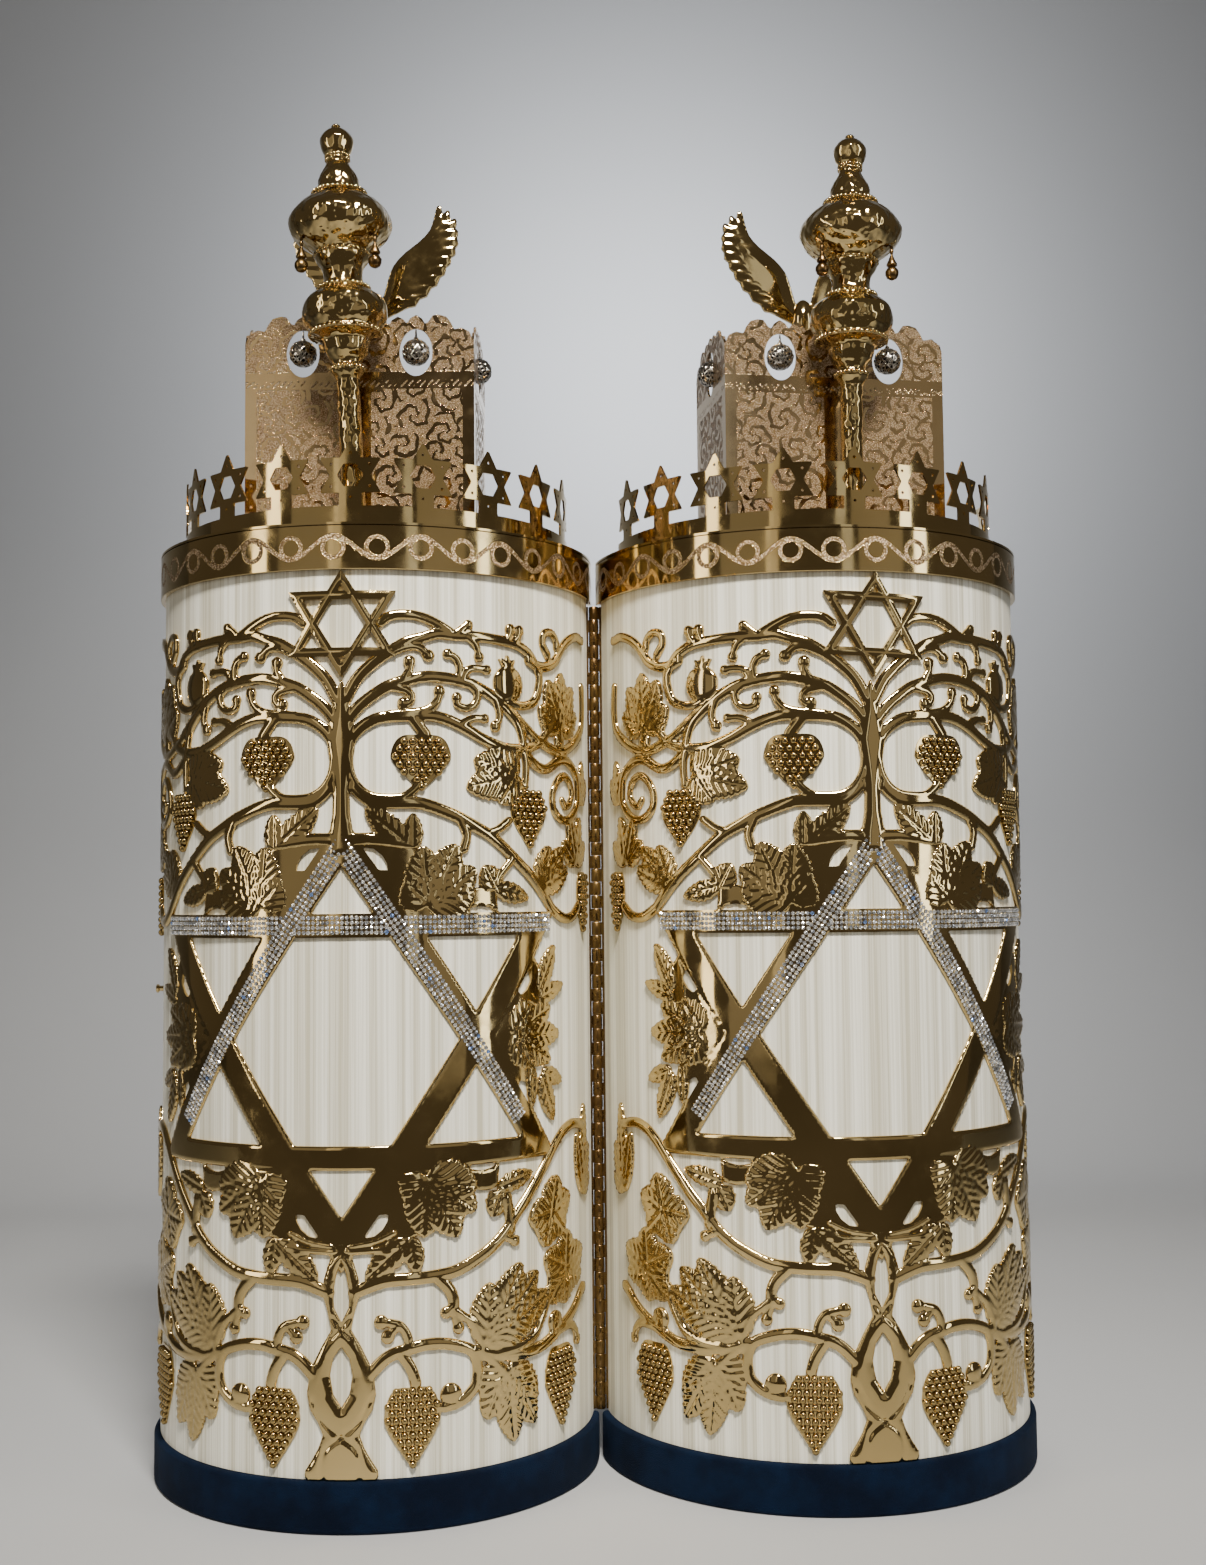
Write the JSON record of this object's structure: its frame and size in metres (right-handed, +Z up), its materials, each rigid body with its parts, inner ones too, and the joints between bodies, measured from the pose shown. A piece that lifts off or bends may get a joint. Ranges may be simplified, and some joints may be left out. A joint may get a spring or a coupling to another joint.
{
  "type": "torah case",
  "caption": "Round scroll case open on a long hinge: half drums in gilded openwork of stars and vines, with galleries of stars, panelled crowns, belled finials and winged birds.",
  "frame": {"origin": "middle of the standing footprint, at the undersides, with the case open as stored", "axes": "+Z up; -Y towards the viewer of the openwork; +X towards the half that moves"},
  "size_m": [0.6, 0.1638, 0.8768],
  "materials": {
    "gold": "polished gilt brass",
    "engraved": "gilt brass with frosted engraving",
    "filigree": "dark silver filigree",
    "velvet": "navy velvet over wood",
    "covering": "cream satin with fine upright stripes, over wood",
    "stones": "clear faceted stones on a pale backing"
  },
  "bodies": {
    "left_half": {"left_half_base": "velvet", "left_half_wall": "covering", "left_openwork": "gold", "left_crystal_bands": "stones", "left_band": "engraved", "left_top_plate": "gold", "left_star_ring": "gold", "left_crown": "engraved", "left_finial": "gold", "left_winged_bird": "gold", "left_hinge_leaf": "gold", "left_ball_1": "filigree", "left_ball_2": "filigree", "left_ball_3": "filigree", "left_ball_4": "filigree", "left_bell_1": "filigree", "left_bell_2": "filigree", "left_bell_3": "filigree", "left_clasp_knob": "gold", "left_hinge_pin": "gold"},
    "right_half": {"right_half_base": "velvet", "right_half_wall": "covering", "right_openwork": "gold", "right_crystal_bands": "stones", "right_band": "engraved", "right_top_plate": "gold", "right_star_ring": "gold", "right_crown": "engraved", "right_finial": "gold", "right_winged_bird": "gold", "right_hinge_leaf": "gold", "right_ball_1": "filigree", "right_ball_2": "filigree", "right_ball_3": "filigree", "right_ball_4": "filigree", "right_bell_1": "filigree", "right_bell_2": "filigree", "right_bell_3": "filigree", "right_clasp_catch": "gold"}
  },
  "joints": [
    {"name": "case_hinge", "type": "hinge", "parent": "left_half", "child": "right_half", "pos_m": [0.0015, 0.05696, 0.306], "axis": [0, 0, 1], "range_deg": [-9, 170]}
  ]
}
